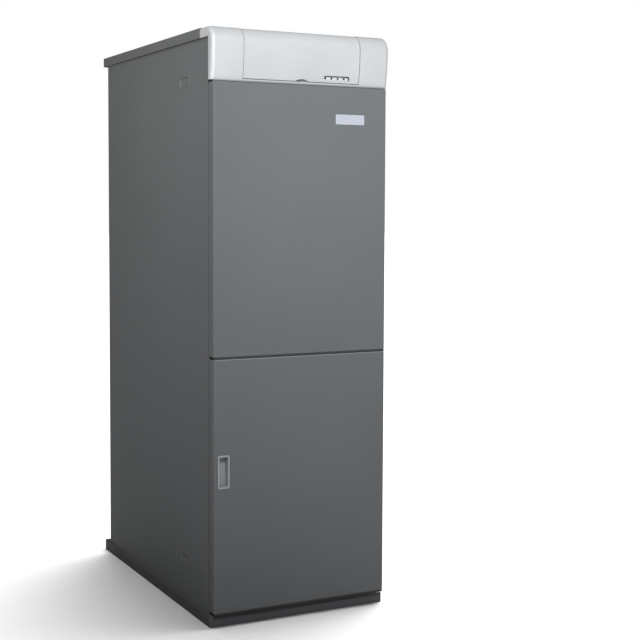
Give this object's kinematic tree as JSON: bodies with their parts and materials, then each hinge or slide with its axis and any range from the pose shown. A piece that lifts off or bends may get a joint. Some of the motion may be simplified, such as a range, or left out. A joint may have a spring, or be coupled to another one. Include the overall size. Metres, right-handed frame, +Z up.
{
  "type": "floor-standing oil boiler",
  "caption": "Tall floor-standing oil boiler with a hinged lower door over the burner, a clip-on upper panel, a silver hood with a lift-up control flap, and a built-in hot water tank.",
  "frame": {"origin": "middle of the bounding box, on the floor under the plinth", "axes": "+Z up, front faces -Y, +X to the right seen from the front"},
  "size_m": [0.464, 0.831, 1.4],
  "materials": {
    "casing_paint": "fine satin powder coat",
    "plinth_paint": "matt black",
    "zinc_sheet": "zinc-plated sheet",
    "fasteners": "zinc-plated",
    "magnet": "black",
    "silver_hood": "satin silver paint",
    "badge": "satin",
    "lamp_window": "milky",
    "lamps": "clear red",
    "fascia": "fine grained",
    "controls": "satin black",
    "red_parts": "red",
    "gauge": "white dial, grey rim",
    "lens": "clear",
    "cast_iron": "as cast, sooted",
    "mineral_board": "foil-faced mineral wool board",
    "refractory": "ceramic fibre",
    "burner_cast": "painted casting",
    "burner_case": "moulded",
    "motor": "black",
    "steel": "bare",
    "fan": "pressed sheet",
    "brass": "machined",
    "stainless": "stainless",
    "foam": "rigid foam",
    "copper": "copper pipe",
    "pump": "red paint",
    "vessel": "red paint",
    "gland": "black"
  },
  "bodies": {
    "casing": {"plinth": "plinth_paint", "left_side_panel": "casing_paint", "right_side_panel": "casing_paint", "rear_panel": "zinc_sheet", "casing_screws": "fasteners", "top_cover": "casing_paint", "panel_clips": "fasteners", "door_hinges": "fasteners", "magnet_catches": "magnet", "hood_frame": "silver_hood", "flap_pins": "fasteners", "indicator_strip": "lamp_window", "indicator_lamps": "lamps", "fascia": "fascia", "control_box": "fascia", "gauge_case": "gauge", "gauge_lens": "lens", "boiler_body": "cast_iron", "boiler_jacket": "mineral_board", "combustion_door": "cast_iron", "door_refractory": "refractory", "door_nuts": "fasteners", "flue_hood": "zinc_sheet", "flue_baffles": "zinc_sheet", "burner_housing": "burner_cast", "blast_tube": "steel", "burner_motor": "motor", "oil_pump": "burner_cast", "ignition_transformer": "burner_case", "burner_control": "burner_case", "nozzle_line": "brass", "tank_shelf": "zinc_sheet", "tank_insulation": "foam", "tank_jacket": "steel", "hot_water_tank": "stainless", "tank_flange": "stainless", "heating_pipes": "copper", "circulators": "pump", "expansion_vessel": "vessel", "vessel_rail": "zinc_sheet", "safety_group": "brass", "rear_glands": "gland"},
    "door": {"lower_door": "casing_paint", "handle_cup": "silver_hood"},
    "front_panel": {"upper_front_panel": "casing_paint", "badge_plate": "badge"},
    "flap": {"control_flap": "silver_hood"},
    "boiler_knob": {"boiler_knob": "controls"},
    "hot_water_knob": {"hot_water_knob": "controls"},
    "main_rocker": {"main_rocker": "controls"},
    "season_rocker": {"season_rocker": "controls"},
    "limit_button": {"limit_button": "red_parts"},
    "gauge_needle": {"gauge_needle": "red_parts"},
    "burner_rotor": {"motor_rotor": "steel", "burner_fan": "fan"},
    "burner_reset_button": {"burner_reset_button": "red_parts"},
    "air_damper": {"air_damper": "burner_cast"},
    "heating_speed_knob": {"heating_speed_knob": "controls"},
    "hot_water_speed_knob": {"hot_water_speed_knob": "controls"},
    "relief_knob": {"relief_knob": "red_parts"}
  },
  "joints": [
    {"name": "door_hinge", "type": "hinge", "parent": "casing", "child": "door", "pos_m": [0.219, -0.3995, 0], "axis": [0, 0, 1], "range_deg": [0, 110]},
    {"name": "front_panel_pull", "type": "slide", "parent": "casing", "child": "front_panel", "axis": [0, -1, 0], "range_m": [0, 0.25]},
    {"name": "flap_hinge", "type": "hinge", "parent": "casing", "child": "flap", "pos_m": [0, -0.3775, 1.395], "axis": [-1, 0, 0], "range_deg": [0, 90]},
    {"name": "boiler_knob_turn", "type": "hinge", "parent": "casing", "child": "boiler_knob", "pos_m": [-0.042, -0.3885, 1.337], "axis": [0, 1, 0], "range_deg": [0, 270]},
    {"name": "hot_water_knob_turn", "type": "hinge", "parent": "casing", "child": "hot_water_knob", "pos_m": [0.008, -0.3885, 1.337], "axis": [0, 1, 0], "range_deg": [0, 270]},
    {"name": "main_rocker_tip", "type": "hinge", "parent": "casing", "child": "main_rocker", "pos_m": [0.054, -0.3885, 1.337], "axis": [1, 0, 0], "range_deg": [0, 16]},
    {"name": "season_rocker_tip", "type": "hinge", "parent": "casing", "child": "season_rocker", "pos_m": [0.088, -0.3885, 1.337], "axis": [1, 0, 0], "range_deg": [0, 16]},
    {"name": "limit_button_press", "type": "slide", "parent": "casing", "child": "limit_button", "axis": [0, 1, 0], "range_m": [0, 0.003], "stiffness_N_per_m": 300},
    {"name": "gauge_needle_turn", "type": "hinge", "parent": "casing", "child": "gauge_needle", "pos_m": [-0.104, -0.3885, 1.337], "axis": [0, 1, 0], "range_deg": [0, 240]},
    {"name": "burner_rotor_spin", "type": "hinge", "parent": "casing", "child": "burner_rotor", "pos_m": [0, -0.2695, 0.2075], "axis": [1, 0, 0], "continuous": true},
    {"name": "burner_reset_press", "type": "slide", "parent": "casing", "child": "burner_reset_button", "axis": [0, 1, 0], "range_m": [0, 0.004], "stiffness_N_per_m": 400},
    {"name": "air_damper_turn", "type": "hinge", "parent": "casing", "child": "air_damper", "pos_m": [0, -0.2695, 0.0945], "axis": [1, 0, 0], "range_deg": [0, 75]},
    {"name": "heating_speed_turn", "type": "hinge", "parent": "casing", "child": "heating_speed_knob", "pos_m": [-0.0565, -0.1995, 0.79], "axis": [0, 1, 0], "range_deg": [0, 180]},
    {"name": "hot_water_speed_turn", "type": "hinge", "parent": "casing", "child": "hot_water_speed_knob", "pos_m": [0.1535, -0.1995, 0.79], "axis": [0, 1, 0], "range_deg": [0, 180]},
    {"name": "relief_knob_turn", "type": "hinge", "parent": "casing", "child": "relief_knob", "pos_m": [-0.155, -0.0925, 0.9365], "axis": [1, 0, 0], "range_deg": [0, 90]}
  ]
}
